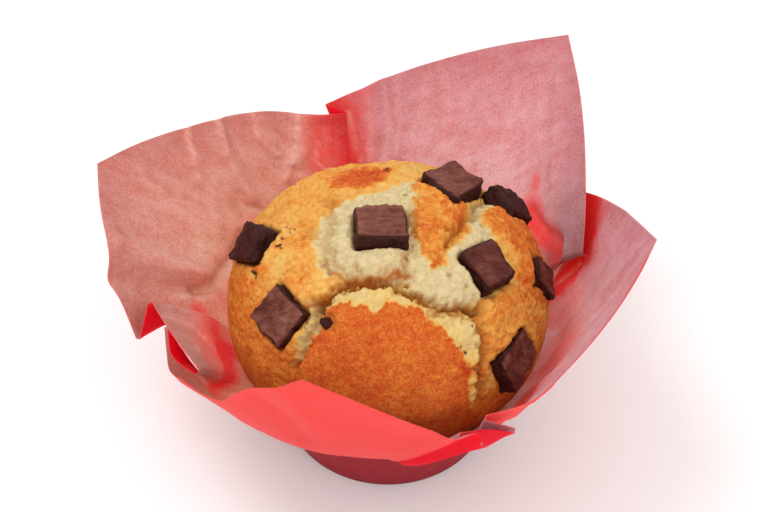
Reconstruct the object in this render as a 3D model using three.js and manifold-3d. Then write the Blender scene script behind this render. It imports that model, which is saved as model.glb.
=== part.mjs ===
// Chocolate chunk muffin in its folded paper case, in millimetres.
// +Z is up, the origin is the middle of the flat base, and the front of the muffin faces -Y.
import * as THREE from "three";
import { mergeVertices } from "three/addons/utils/BufferGeometryUtils.js";
import Module from "manifold-3d";

const wasm = await Module();
wasm.setup();

// Driving sizes of the cup that the muffin is baked in
const baseRadius = 25.5;
const wallTopRadius = 31.2;
const wallTopHeight = 20;
const paperThickness = 0.6;
const foldWidth = 1.2;
const foldFoot = 1.4;
const pleatCount = 26;
const pleatDepth = 0.35;
const pleatFullAt = 0.3;
const spokeSpacing = 6.5;

// Driving sizes of the muffin
const muffinRadius = 37.5;
const widestHeight = 38;
const domeRise = 27;
const bulgeDrop = 12;
const gap = 0.3;
const pleatClearance = 0.2;
const muffinSides = 80;
const domeRings = 28;
const broadWaves = { lift: 0.45, scale: 0.16 };
const fineWaves = { lift: 0.25, scale: 0.5 };

// Soft edges and uneven faces of the chocolate
const chunkRounding = 1.3;
const chunkUneven = 0.35;
const chipRounding = 0.8;
const chipLimit = 3;

// A square sheet of paper about 150 across stands up as four petals with folded valleys between.
// Each spoke of the sheet runs from the cup over a knee to the edge of the petal.
// edge: angle round the muffin, distance out, height. foot: angle where the spoke leaves the cup.
const kneeOut = 41;
const kneeUp = 30;
const kneeAt = 0.32;
const spokes = [
  { edge: [-109, 53.5, 74], foot: -110, knee: [40.4, 30.8], tip: true },
  { edge: [-99, 50.7, 67], foot: -103, knee: [39.8, 31.2] },
  { edge: [-87, 50.2, 60], foot: -97, knee: [39.6, 31.2] },
  { edge: [-79, 49.6, 54], foot: -93, knee: [39.6, 31.2] },
  { edge: [-72.8, 50.2, 50], foot: -91, knee: [39.8, 31.2] },
  { edge: [-67.4, 50, 50], foot: -89, knee: [40.2, 31], fold: true },
  { edge: [-66, 50.1, 45], foot: -86, knee: [40.8, 30.8], fold: true },
  { edge: [-70, 45.6, 44.6], foot: -81.6, knee: [39, 31.4], fold: true },
  { edge: [-64.4, 47.6, 46.6], foot: -76.6, knee: [39.6, 30.8] },
  { edge: [-60.8, 49.2, 46.4], foot: -71, knee: [40.2, 30.2] },
  { edge: [-56.8, 50.4, 45.4], foot: -66, knee: [40, 30], fold: true },
  { edge: [-62, 45.4, 47.2], foot: -61.6, knee: [38.4, 30], fold: true },
  { edge: [-57.4, 49, 52], foot: -57.5, knee: [38.2, 29.4] },
  { edge: [-53, 52.8, 57], foot: -52, knee: [37.8, 28.8] },
  { edge: [-45, 54, 62], foot: -44, knee: [37.4, 28.4] },
  { edge: [-33, 55.2, 66.5], foot: -32, knee: [37.4, 28.4] },
  { edge: [-18, 57.4, 70], foot: -18, knee: [38.4, 29] },
  { edge: [-10, 59.3, 72], foot: -9, tip: true },
  { edge: [11, 54, 60], foot: 7 },
  { edge: [31.2, 54.8, 46], foot: 16, knee: [41.8, 29.6] },
  { edge: [36, 55, 42.5], foot: 19.4, knee: [42.2, 29.4], fold: true },
  { edge: [9, 46.5, 47], foot: 22.4, knee: [39.8, 31], fold: true },
  { edge: [17, 48, 54], foot: 26, knee: [40.2, 30.6] },
  { edge: [26, 51.5, 57], foot: 31 },
  { edge: [38, 59, 60], foot: 39.5 },
  { edge: [46, 66, 63], foot: 46 },
  { edge: [54, 74.3, 68], foot: 54, tip: true },
  { edge: [66, 67.6, 63], foot: 65 },
  { edge: [80, 61.9, 58], foot: 78 },
  { edge: [92, 58.8, 54], foot: 90 },
  { edge: [106, 56.3, 50], foot: 100.4, knee: [42, 29.5], fold: true },
  { edge: [101.6, 52.3, 50], foot: 103.4, knee: [39.8, 31], fold: true },
  { edge: [107, 52.9, 50], foot: 107, knee: [40.2, 30.6] },
  { edge: [122, 57.4, 53], foot: 121 },
  { edge: [141, 61, 58], foot: 138 },
  { edge: [155, 67, 61], foot: 151 },
  { edge: [162, 71.1, 62], foot: 158, tip: true },
  { edge: [170.5, 67, 61], foot: 164 },
  { edge: [180, 63.6, 57], foot: 169 },
  { edge: [187, 61.7, 52], foot: 172.5, knee: [41.6, 29.8] },
  { edge: [194, 58.6, 42], foot: 177, knee: [42.2, 29.4], fold: true },
  { edge: [190, 54.7, 49], foot: 180.2, knee: [39.7, 31.4], fold: true },
  { edge: [201, 51.5, 48.5], foot: 193, knee: [40, 31] },
  { edge: [213, 50.2, 46.5], foot: 204.4, knee: [40.2, 31], fold: true },
  { edge: [207.4, 52, 45], foot: 205.6, knee: [41.2, 30.6] },
  { edge: [201.8, 52.6, 43.6], foot: 206.6, knee: [41.8, 30.3] },
  { edge: [194.6, 52, 45], foot: 208.2, knee: [44, 29.7], fold: true },
  { edge: [199.3, 53.2, 40.4], foot: 210.6, knee: [44.6, 29.8] },
  { edge: [203, 53.8, 39.8], foot: 212.6, knee: [44.8, 30] },
  { edge: [210, 52.6, 42], foot: 215.4, knee: [44.6, 30.6] },
  { edge: [219, 51.8, 45], foot: 219.4, knee: [44, 31] },
  { edge: [226, 51.6, 49], foot: 225, knee: [43.4, 31] },
  { edge: [231, 52.2, 56], foot: 230, knee: [42.4, 30.6] },
  { edge: [240, 52.1, 64], foot: 239.4 },
];

// Cracks in the top of the muffin, each a line of places seen from above
const cracks = [
  { path: [[-15, -19], [-12.5, -16.8], [-9, -15.3], [0, -15.2], [8, -18.6], [12, -19.6], [20, -18]],
    width: 1.8, depth: 3 },
  { path: [[-15, -19], [-15.5, -22], [-20, -27.5]], width: 1.8, depth: 1.7 },
  { path: [[19, -19], [21, -23], [20, -29], [22, -33]], width: 1.7, depth: 1.7 },
  { path: [[13, -4], [15, 0], [19, 7], [20.5, 12], [22.5, 17]], width: 1.8, depth: 2.2 },
  { path: [[19, -18.5], [20.5, -16], [22.5, -13]], width: 1.6, depth: 1.5 },
  { path: [[-15, 12], [-13, 8.5], [-13.5, -4], [-12, -9], [-8.5, -13.5]], width: 1.7, depth: 1.3 },
  { path: [[5, -6], [3.8, -11], [2.6, -15]], width: 1.6, depth: 1.3 },
];

// Plates of browned crust and lumps of crumb that stand up from the top
const plates = [
  { outline: [[-14, -20], [-11, -17], [-5, -16.4], [0, -16.2], [6, -18.4], [12, -20.4], [19, -20.4],
    [20, -26], [18, -38], [-24, -38], [-17, -25]], rise: 1.6, edge: 1.2 },
  { outline: [[6, 14], [10, 14.5], [18, 8], [16, 3], [13, -3], [10.3, -11], [6.4, -4]],
    rise: 1.1, edge: 1 },
  { outline: [[22, 9], [26, 13.5], [33, 12], [37, 3], [34, -6], [29, -5], [27, 1], [23, 5]],
    rise: 1.1, edge: 1.2 },
  { outline: [[20, -17.5], [24, -13], [30, -8], [36, -10], [36, -16], [30, -19], [25, -24],
    [21.5, -22]], rise: 0.8, edge: 1.2 },
];
const lumps = [
  { at: [-3, -3], size: 9, rise: 0.9 },
  { at: [12, -14], size: 5, rise: 0.9 },
  { at: [-22, -2], size: 8, rise: 0.7 },
  { at: [-16, 21], size: 9, rise: 0.8 },
  { at: [4, 27], size: 8, rise: 0.5 },
  { at: [-33, -12], size: 8, rise: -0.6 },
];

// Chocolate chunks: middle of the outer face, direction and amount of lean, turn, and size
const chunks = [
  { name: "chunk_top", top: [-1.5, -1.1, 68.2], lean: [45, 7], turn: 3, size: [11.8, 10.8, 6] },
  { name: "chunk_back", top: [15.4, 16.8, 63.2], lean: [38, 20], turn: 48, size: [12.4, 10.8, 6.6] },
  { name: "chunk_right", top: [22.7, -8.2, 62], lean: [-29, 24], turn: 41, size: [9.4, 10.6, 6] },
  { name: "chunk_front_left", top: [-24.8, -18.6, 55.7], lean: [-138, 45], turn: 37,
    size: [10.8, 11.4, 6] },
  { name: "chunk_left", top: [-32.8, 3.9, 55.6], lean: [-180, 52], turn: -42, size: [12, 9.4, 6] },
  { name: "chunk_back_right", top: [29.8, 18, 54], lean: [20, 50], turn: 38, size: [11.6, 9.2, 6.4] },
  { name: "chunk_right_edge", top: [37, -0.6, 48.6], lean: [-4, 66], turn: 10, size: [9.6, 8.2, 6] },
  { name: "chunk_front_right", top: [29.8, -23.4, 46.4], lean: [-30, 58], turn: 62,
    size: [12.4, 9, 6.2] },
  { name: "chip_front", top: [-13.1, -22.5, 58.3], lean: [-121, 30], turn: 20, size: [3.6, 3, 2.4] },
];

const degrees = Math.PI / 180;

function mix(a, b, t) {
  return a + (b - a) * t;
}

function smoothStep(low, high, value) {
  const t = THREE.MathUtils.clamp((value - low) / (high - low), 0, 1);
  return t * t * (3 - 2 * t);
}

// A slow, even wobble that repeats nowhere near, between -1 and 1
function wobble(x, y, z) {
  const first = Math.sin(x * 1.3 + Math.sin(y * 0.9) * 1.7 + z * 0.4);
  const second = Math.sin(y * 1.1 - z * 1.6 + Math.sin(x * 0.7) * 1.4);
  return (first + second + Math.sin(z * 1.2 + x * 0.5 - y * 0.6)) / 3;
}

// Builds one closed body from a grid of rings between two poles
function ringsToGeometry(bottom, rings, top) {
  const positions = [...bottom];
  const around = rings[0].length;
  for (const ring of rings) {
    for (const point of ring) positions.push(...point);
  }
  positions.push(...top);
  const indices = [];
  const topIndex = 1 + rings.length * around;
  for (let i = 0; i < around; i += 1) {
    const j = (i + 1) % around;
    indices.push(0, 1 + j, 1 + i);
    for (let k = 0; k + 1 < rings.length; k += 1) {
      const a = 1 + k * around + i;
      const b = 1 + k * around + j;
      const c = a + around;
      const d = b + around;
      if ((i + k) % 2) indices.push(a, b, d, a, d, c);
      else indices.push(a, b, c, b, d, c);
    }
    indices.push(topIndex, topIndex - around + i, topIndex - around + j);
  }
  const geometry = new THREE.BufferGeometry();
  geometry.setAttribute("position", new THREE.Float32BufferAttribute(positions, 3));
  geometry.setIndex(indices);
  return geometry;
}

function toSolid(geometry) {
  const bare = geometry.clone();
  bare.deleteAttribute("normal");
  bare.deleteAttribute("uv");
  const merged = mergeVertices(bare);
  return new wasm.Manifold(new wasm.Mesh({
    numProp: 3,
    vertProperties: new Float32Array(merged.attributes.position.array),
    triVerts: new Uint32Array(merged.index.array),
  }));
}

function toGeometry(solid) {
  const mesh = solid.getMesh();
  const geometry = new THREE.BufferGeometry();
  geometry.setAttribute("position", new THREE.Float32BufferAttribute(mesh.vertProperties, 3));
  geometry.setIndex(new THREE.Uint32BufferAttribute(mesh.triVerts, 1));
  geometry.computeVertexNormals();
  return geometry;
}

// Paper case

// A spoke as edge place x, y, z, then foot angle, then knee out and up
function spokeAt(index) {
  const count = spokes.length;
  const lap = Math.floor(index / count);
  const { edge, foot, tip, fold, knee = [kneeOut, kneeUp] } = spokes[index - lap * count];
  const angle = (edge[0] + lap * 360) * degrees;
  const place = [edge[1] * Math.cos(angle), edge[1] * Math.sin(angle), edge[2]];
  return { tip, fold, values: [...place, foot + lap * 360, ...knee], edgeAngle: edge[0] + lap * 360 };
}

// A fold turns round over a small width, so it becomes two spokes, one on each layer of the paper
function roundedFold(index) {
  const [before, here, after] = [index - 1, index, index + 1].map(spokeAt);
  const place = ({ values }) => new THREE.Vector3(...values.slice(0, 3));
  const foot = here.values[3] * degrees;
  const [kneeReach, kneeHeight] = here.values.slice(4);
  const knee = new THREE.Vector3(kneeReach * Math.cos(foot), kneeReach * Math.sin(foot), kneeHeight);
  const spokeWay = place(here).sub(knee);
  const edgeWay = place(here).multiplyScalar(2).sub(place(before)).sub(place(after));
  const across = edgeWay.cross(spokeWay).normalize();
  across.multiplyScalar(Math.sign(across.dot(place(after).sub(place(before)))));
  const outward = across.x * Math.cos(foot) + across.y * Math.sin(foot);
  const offset = [...across.toArray(), foldFoot / foldWidth, outward, across.z];
  return [-0.5, 0.5].map((side) => ({
    ...here,
    values: here.values.map((value, k) => value + side * foldWidth * offset[k]),
  }));
}

function spanLength(a, b) {
  return Math.hypot(b.values[0] - a.values[0], b.values[1] - a.values[1], b.values[2] - a.values[2]);
}

// Slope of the edge at a spoke; at a petal's tip or a fold the edge turns a sharp corner
function edgeSlope(before, here, after, side) {
  const lengthBefore = spanLength(before, here);
  const lengthAfter = spanLength(here, after);
  return here.values.map((value, k) => {
    const slopeBefore = (value - before.values[k]) / lengthBefore;
    const slopeAfter = (after.values[k] - value) / lengthAfter;
    if ((here.tip || here.fold) && k < 3) return side < 0 ? slopeBefore : slopeAfter;
    return (slopeBefore * lengthAfter + slopeAfter * lengthBefore) / (lengthBefore + lengthAfter);
  });
}

// The edge of the paper all the way round, as spokes close enough to bend smoothly
function spokesAround(stepLength) {
  const stops = spokes.flatMap((spoke, i) => (spoke.fold ? roundedFold(i) : [spokeAt(i)]));
  const stopAt = (index) => {
    const lap = Math.floor(index / stops.length);
    const stop = stops[index - lap * stops.length];
    const values = stop.values.map((value, k) => (k === 3 ? value + lap * 360 : value));
    return { ...stop, values, edgeAngle: stop.edgeAngle + lap * 360 };
  };
  const result = [];
  for (let i = 0; i < stops.length; i += 1) {
    const [before, here, after, beyond] = [i - 1, i, i + 1, i + 2].map(stopAt);
    const length = spanLength(here, after);
    const slopeHere = edgeSlope(before, here, after, 1);
    const slopeAfter = edgeSlope(here, after, beyond, -1);
    const steps = Math.max(2, Math.round(length / stepLength));
    for (let s = 0; s < steps; s += 1) {
      const t = s / steps;
      const startWeight = 2 * t ** 3 - 3 * t ** 2 + 1;
      const startSlope = (t ** 3 - 2 * t ** 2 + t) * length;
      const endSlope = (t ** 3 - t ** 2) * length;
      const values = here.values.map((value, k) => {
        if (k > 2) return mix(value, after.values[k], t);
        const blend = value * startWeight + after.values[k] * (1 - startWeight);
        return blend + slopeHere[k] * startSlope + slopeAfter[k] * endSlope;
      });
      const angle = Math.atan2(values[1], values[0]) / degrees;
      const near = mix(here.edgeAngle, after.edgeAngle, t);
      result.push({
        edgeAngle: angle + 360 * Math.round((near - angle) / 360),
        edgeOut: Math.hypot(values[0], values[1]),
        edgeUp: values[2],
        foot: values[3],
        knee: [values[4], values[5]],
      });
    }
  }
  return result;
}

function pleat(angle) {
  const turn = (angle / 360) * pleatCount;
  return pleatDepth * (2 * Math.abs(turn - Math.floor(turn) - 0.4) - 0.5);
}

// Distance out and height on the stretch from the cup's wall over the knee to the edge
function bendPoint(spoke, t) {
  const start = [wallTopRadius, wallTopHeight];
  const knee = spoke.knee;
  const edge = [spoke.edgeOut, spoke.edgeUp];
  const lower = Math.hypot(knee[0] - start[0], knee[1] - start[1]);
  const upper = Math.hypot(edge[0] - knee[0], edge[1] - knee[1]);
  const wallLean = Math.atan2(wallTopHeight, wallTopRadius - baseRadius);
  const startSlope = [Math.cos(wallLean), Math.sin(wallLean)];
  const kneeSlope = [0, 1].map((k) => (knee[k] - start[k]) / lower + (edge[k] - knee[k]) / upper);
  const slopeLength = Math.hypot(...kneeSlope);
  const inLower = t < kneeAt;
  const from = inLower ? start : knee;
  const to = inLower ? knee : edge;
  const length = inLower ? lower : upper;
  const u = inLower ? t / kneeAt : (t - kneeAt) / (1 - kneeAt);
  return [0, 1].map((k) => {
    const unitKnee = kneeSlope[k] / slopeLength;
    const slopeFrom = inLower ? startSlope[k] : unitKnee;
    const slopeTo = inLower ? unitKnee : (edge[k] - knee[k]) / upper;
    const weight = 2 * u ** 3 - 3 * u ** 2 + 1;
    return from[k] * weight + to[k] * (1 - weight)
      + ((u ** 3 - 2 * u ** 2 + u) * slopeFrom + (u ** 3 - u ** 2) * slopeTo) * length;
  });
}

function paperMiddle(spoke, row) {
  let out;
  let up;
  let angle = spoke.foot;
  if (row.wall !== undefined) {
    out = mix(baseRadius - paperThickness / 2, wallTopRadius, row.wall);
    out += pleat(spoke.foot) * smoothStep(0, pleatFullAt, row.wall);
    up = mix(paperThickness / 2, wallTopHeight, row.wall);
  } else {
    [out, up] = bendPoint(spoke, row.bend);
    out += pleat(spoke.foot) * (1 - smoothStep(0, kneeAt, row.bend));
    angle = mix(spoke.foot, spoke.edgeAngle, row.bend ** 2);
  }
  return new THREE.Vector3(out * Math.cos(angle * degrees), out * Math.sin(angle * degrees), up);
}

function makePaperCase() {
  const around = spokesAround(spokeSpacing);
  const rows = [0, pleatFullAt, 0.65].map((wall) => ({ wall }));
  rows.push(...[0, 0.16, kneeAt, 0.48, 0.66, 0.83, 1].map((bend) => ({ bend })));
  const middle = rows.map((row) => around.map((spoke) => paperMiddle(spoke, row)));
  const count = around.length;
  const inner = [];
  const outer = [];
  for (let k = 0; k < rows.length; k += 1) {
    const innerRing = [];
    const outerRing = [];
    for (let i = 0; i < count; i += 1) {
      const below = middle[Math.max(k - 1, 0)][i];
      const above = middle[Math.min(k + 1, rows.length - 1)][i];
      const outward = new THREE.Vector3().subVectors(above, below);
      const next = middle[k][(i + 1) % count];
      const previous = middle[k][(i + count - 1) % count];
      const along = new THREE.Vector3().subVectors(next, previous);
      const normal = outward.cross(along).normalize();
      if (k === 0) {
        const foot = around[i].foot * degrees;
        normal.set(-Math.cos(foot), -Math.sin(foot), 1);
      }
      innerRing.push(middle[k][i].clone().addScaledVector(normal, paperThickness / 2).toArray());
      outerRing.push(middle[k][i].clone().addScaledVector(normal, -paperThickness / 2).toArray());
    }
    inner.push(innerRing);
    outer.push(outerRing);
  }
  const rings = [...outer, ...inner.reverse()];
  return ringsToGeometry([0, 0, 0], rings, [0, 0, paperThickness]);
}

// Muffin

function distanceToPath(x, y, path, closed) {
  let nearest = Infinity;
  const last = closed ? path.length : path.length - 1;
  for (let i = 0; i < last; i += 1) {
    const [ax, ay] = path[i];
    const [bx, by] = path[(i + 1) % path.length];
    const lengthSquared = (bx - ax) ** 2 + (by - ay) ** 2;
    const along = ((x - ax) * (bx - ax) + (y - ay) * (by - ay)) / lengthSquared;
    const t = THREE.MathUtils.clamp(along, 0, 1);
    nearest = Math.min(nearest, Math.hypot(x - mix(ax, bx, t), y - mix(ay, by, t)));
  }
  return nearest;
}

function isInside(x, y, outline) {
  let inside = false;
  for (let i = 0; i < outline.length; i += 1) {
    const [ax, ay] = outline[i];
    const [bx, by] = outline[(i + 1) % outline.length];
    if ((ay > y) !== (by > y) && x < mix(ax, bx, (y - ay) / (by - ay))) inside = !inside;
  }
  return inside;
}

// Height of the relief above the smooth dome, at a place seen from above
function relief(x, y) {
  let lift = broadWaves.lift * wobble(x * broadWaves.scale, y * broadWaves.scale, 1);
  lift += fineWaves.lift * wobble(x * fineWaves.scale, y * fineWaves.scale, 2);
  for (const { outline, rise, edge } of plates) {
    const distance = distanceToPath(x, y, outline, true) * (isInside(x, y, outline) ? 1 : -1);
    lift += rise * smoothStep(-edge, edge, distance);
  }
  for (const { at, size, rise } of lumps) {
    lift += rise * Math.exp(-((x - at[0]) ** 2 + (y - at[1]) ** 2) / size ** 2);
  }
  for (const { path, width, depth } of cracks) {
    lift -= depth * Math.exp(-((distanceToPath(x, y, path, false) / width) ** 2));
  }
  return lift;
}

function muffinWallRadius(height) {
  const paperFace = mix(baseRadius, wallTopRadius, height / wallTopHeight) - paperThickness;
  return paperFace - pleatDepth - gap - pleatClearance;
}

function makeMuffin() {
  const floorHeight = paperThickness + gap;
  const bulgeStart = widestHeight - bulgeDrop;
  const neckRadius = muffinWallRadius(bulgeStart);
  const rings = [];
  const pushRing = (place) => {
    rings.push(Array.from({ length: muffinSides }, (_, i) => place((i / muffinSides) * 2 * Math.PI)));
  };
  for (const height of [floorHeight, bulgeStart / 2, bulgeStart]) {
    const radius = muffinWallRadius(height);
    pushRing((angle) => [radius * Math.cos(angle), radius * Math.sin(angle), height]);
  }
  for (const step of [0.3, 0.62]) {
    const radius = neckRadius + (muffinRadius - neckRadius) * Math.sin(step * Math.PI / 2);
    const height = widestHeight - bulgeDrop * Math.cos(step * Math.PI / 2);
    pushRing((angle) => [radius * Math.cos(angle), radius * Math.sin(angle), height]);
  }
  for (let k = 0; k < domeRings; k += 1) {
    const slope = (k / domeRings) * Math.PI / 2;
    const radius = muffinRadius * Math.cos(slope);
    const height = widestHeight + domeRise * Math.sin(slope);
    pushRing((angle) => {
      const x = radius * Math.cos(angle);
      const y = radius * Math.sin(angle);
      const normal = new THREE.Vector3(x / muffinRadius ** 2, y / muffinRadius ** 2,
        (height - widestHeight) / domeRise ** 2).normalize();
      const lift = relief(x, y) * smoothStep(0, 0.25, slope);
      return [x + normal.x * lift, y + normal.y * lift, height + normal.z * lift];
    });
  }
  const top = [0, 0, widestHeight + domeRise + relief(0, 0)];
  let solid = toSolid(ringsToGeometry([0, 0, floorHeight], rings, top));
  for (const chunk of chunks) {
    solid = solid.subtract(toSolid(chunkGeometry(chunk, gap)));
  }
  return toGeometry(solid);
}

// Chocolate chunks, as boxes with soft edges and slightly uneven faces

function chunkGeometry({ top, lean, turn, size }, grow) {
  const small = Math.min(...size) < chipLimit;
  const steps = small ? [2, 2, 2] : [4, 4, 3];
  const box = new THREE.BoxGeometry(size[0], size[1], size[2], ...steps);
  const half = size.map((side) => side / 2);
  const rounding = small ? chipRounding : chunkRounding;
  const position = box.attributes.position;
  const point = new THREE.Vector3();
  for (let i = 0; i < position.count; i += 1) {
    point.fromBufferAttribute(position, i);
    const wave = wobble(point.x * 0.55 + top[0], point.y * 0.55 + top[1], point.z * 0.6);
    const uneven = small ? 0 : chunkUneven * wave;
    const core = new THREE.Vector3(
      THREE.MathUtils.clamp(point.x, rounding - half[0], half[0] - rounding),
      THREE.MathUtils.clamp(point.y, rounding - half[1], half[1] - rounding),
      THREE.MathUtils.clamp(point.z, rounding - half[2], half[2] - rounding),
    );
    const outward = point.clone().sub(core).normalize();
    point.copy(core).addScaledVector(outward, rounding + uneven + grow);
    position.setXYZ(i, point.x, point.y, point.z);
  }
  box.deleteAttribute("normal");
  box.deleteAttribute("uv");
  const geometry = mergeVertices(box);
  const leanAxis = new THREE.Vector3(-Math.sin(lean[0] * degrees), Math.cos(lean[0] * degrees), 0);
  const pose = new THREE.Matrix4().makeTranslation(...top)
    .multiply(new THREE.Matrix4().makeRotationAxis(leanAxis, lean[1] * degrees))
    .multiply(new THREE.Matrix4().makeRotationZ(turn * degrees))
    .multiply(new THREE.Matrix4().makeTranslation(0, 0, -half[2]));
  return geometry.applyMatrix4(pose);
}

const paperFinish = new THREE.MeshStandardMaterial({ color: 0xf05a57, roughness: 0.6, metalness: 0 });
const crumbFinish = new THREE.MeshStandardMaterial({ color: 0xe0964c, roughness: 0.75, metalness: 0 });
const chocolateFinish = new THREE.MeshStandardMaterial({
  color: 0x4a2826,
  roughness: 0.45,
  metalness: 0,
});

function addMesh(group, name, geometry, material) {
  const mesh = new THREE.Mesh(geometry, material);
  mesh.name = name;
  group.add(mesh);
}

const muffin = new THREE.Group();
addMesh(muffin, "paper_case", makePaperCase(), paperFinish);
addMesh(muffin, "muffin", makeMuffin(), crumbFinish);
for (const chunk of chunks) {
  addMesh(muffin, chunk.name, chunkGeometry(chunk, 0), chocolateFinish);
}

export default muffin;
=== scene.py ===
import math

import bmesh
import bpy
import numpy as np
from mathutils import Matrix, Vector, noise


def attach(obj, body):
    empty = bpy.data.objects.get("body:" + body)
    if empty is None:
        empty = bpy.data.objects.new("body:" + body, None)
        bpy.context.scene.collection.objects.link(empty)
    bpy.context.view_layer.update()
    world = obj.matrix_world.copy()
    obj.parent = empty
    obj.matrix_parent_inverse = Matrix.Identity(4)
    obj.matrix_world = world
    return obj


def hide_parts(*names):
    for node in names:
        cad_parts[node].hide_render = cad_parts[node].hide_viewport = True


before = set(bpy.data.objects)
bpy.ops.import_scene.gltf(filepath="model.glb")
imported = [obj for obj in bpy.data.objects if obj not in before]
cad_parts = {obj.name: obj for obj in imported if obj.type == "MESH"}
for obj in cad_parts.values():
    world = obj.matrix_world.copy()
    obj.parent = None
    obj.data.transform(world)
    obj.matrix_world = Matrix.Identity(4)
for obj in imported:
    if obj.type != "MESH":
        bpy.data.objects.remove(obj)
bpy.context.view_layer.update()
mm = 0.001
print("frame loaded")

# Camera, at the photograph's angle
view = {"place": (0, -0.28925, 0.38272), "tilt": 41.401, "turn": 0.18, "lens": 90.07, "sensor": 36}
cameraData = bpy.data.cameras.new("camera")
cameraData.lens = view["lens"]
cameraData.sensor_width = view["sensor"]
camera = bpy.data.objects.new("camera", cameraData)
camera.location = view["place"]
camera.rotation_euler = (math.radians(view["tilt"]), 0, math.radians(view["turn"]))
bpy.context.scene.collection.objects.link(camera)
bpy.context.scene.camera = camera


# Numbers and patterns that several pieces use

def smoothStep(low, high, value):
    t = np.clip((value - low) / (high - low), 0, 1)
    return t * t * (3 - 2 * t)


def blend(a, b, share):
    return a + (b - a) * share


def bump(distance, width):
    return np.exp(-(distance / width) ** 2)


# Cloudy noise in -1..1 at points in millimetres, with features of about the given size
def clouds(points, size, octaves=3, shift=0.0):
    offset = Vector((shift, shift * 0.7, shift * 1.3))
    return np.array([noise.fractal(Vector(p) / size + offset, 1.0, 2.0, octaves) for p in points])


# Crumbs of about the given size: how near each point is to its crumb's middle and to the next crumb
def crumbs(points, size, shift=0.0):
    offset = Vector((shift, shift * 0.6, shift * 1.7))
    near = np.array([noise.voronoi(Vector(p) / size + offset)[0][:2] for p in points])
    return near[:, 0], near[:, 1] - near[:, 0]


# Distance from each place, seen from above, to a line of places
def distanceToPath(x, y, path, closed=False):
    nearest = np.full(x.shape, np.inf)
    ends = list(zip(path, path[1:] + path[:1] if closed else path[1:]))
    for (ax, ay), (bx, by) in ends:
        along = ((x - ax) * (bx - ax) + (y - ay) * (by - ay)) / ((bx - ax) ** 2 + (by - ay) ** 2)
        along = np.clip(along, 0, 1)
        nearest = np.minimum(nearest, np.hypot(x - blend(ax, bx, along), y - blend(ay, by, along)))
    return nearest


# Distance inside an outline, negative outside it
def depthInside(x, y, outline):
    inside = np.zeros(x.shape, bool)
    for (ax, ay), (bx, by) in zip(outline, outline[1:] + outline[:1]):
        if ay != by:
            crosses = (ay > y) != (by > y)
            inside ^= crosses & (x < blend(ax, bx, (y - ay) / (by - ay)))
    return distanceToPath(x, y, outline, closed=True) * np.where(inside, 1, -1)


def meshFrom(bm, name):
    mesh = bpy.data.meshes.new(name)
    bm.to_mesh(mesh)
    bm.free()
    return mesh


# A flat ring of faces by spinning a line; returns it with each vertex's row and column
def spunSheet(name, rows, columns):
    bm = bmesh.new()
    line = bm.edges.new([bm.verts.new((1, 0, 0)), bm.verts.new((rows, 0, 0))])
    bmesh.ops.subdivide_edges(bm, edges=[line], cuts=rows - 2)
    bmesh.ops.spin(bm, geom=bm.verts[:] + bm.edges[:], axis=(0, 0, 1), cent=(0, 0, 0),
                   angle=math.tau, steps=columns, use_merge=True)
    mesh = meshFrom(bm, name)
    places = readPlaces(mesh)
    row = np.rint(np.hypot(places[:, 0], places[:, 1])).astype(int) - 1
    column = np.rint(np.arctan2(places[:, 1], places[:, 0]) / math.tau * columns).astype(int) % columns
    return mesh, row, column


def readPlaces(mesh):
    places = np.empty(len(mesh.vertices) * 3, np.float32)
    mesh.vertices.foreach_get("co", places)
    return places.reshape(-1, 3).astype(float)


def writePlaces(mesh, places):
    mesh.vertices.foreach_set("co", np.asarray(places, np.float32).ravel())
    mesh.update()


def writeTone(mesh, name, values):
    layer = mesh.attributes.new(name, "FLOAT", "POINT")
    layer.data.foreach_set("value", np.asarray(values, np.float32))


def writeVectorTone(mesh, name, values):
    layer = mesh.attributes.new(name, "FLOAT_VECTOR", "POINT")
    layer.data.foreach_set("vector", np.asarray(values, np.float32).ravel())


# Closes poles and makes the piece, smooth shaded
def finishPiece(mesh, name, materials, node, outward=True):
    bm = bmesh.new()
    bm.from_mesh(mesh)
    bmesh.ops.remove_doubles(bm, verts=bm.verts[:], dist=1e-7)
    bmesh.ops.dissolve_degenerate(bm, edges=bm.edges[:], dist=1e-7)
    if outward:
        bmesh.ops.recalc_face_normals(bm, faces=bm.faces[:])
    bm.to_mesh(mesh)
    bm.free()
    mesh.polygons.foreach_set("use_smooth", [True] * len(mesh.polygons))
    for material in materials:
        mesh.materials.append(material)
    piece = bpy.data.objects.new(name, mesh)
    bpy.context.scene.collection.objects.link(piece)
    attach(piece, "root")
    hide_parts(node)
    return piece


# Materials

# A screen colour, 0 to 255, as the linear colour that a material takes
def linear(red, green, blue):
    parts = [((c / 255 + 0.055) / 1.055) ** 2.4 if c > 10 else c / 3295 for c in (red, green, blue)]
    return (*parts, 1)


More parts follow.
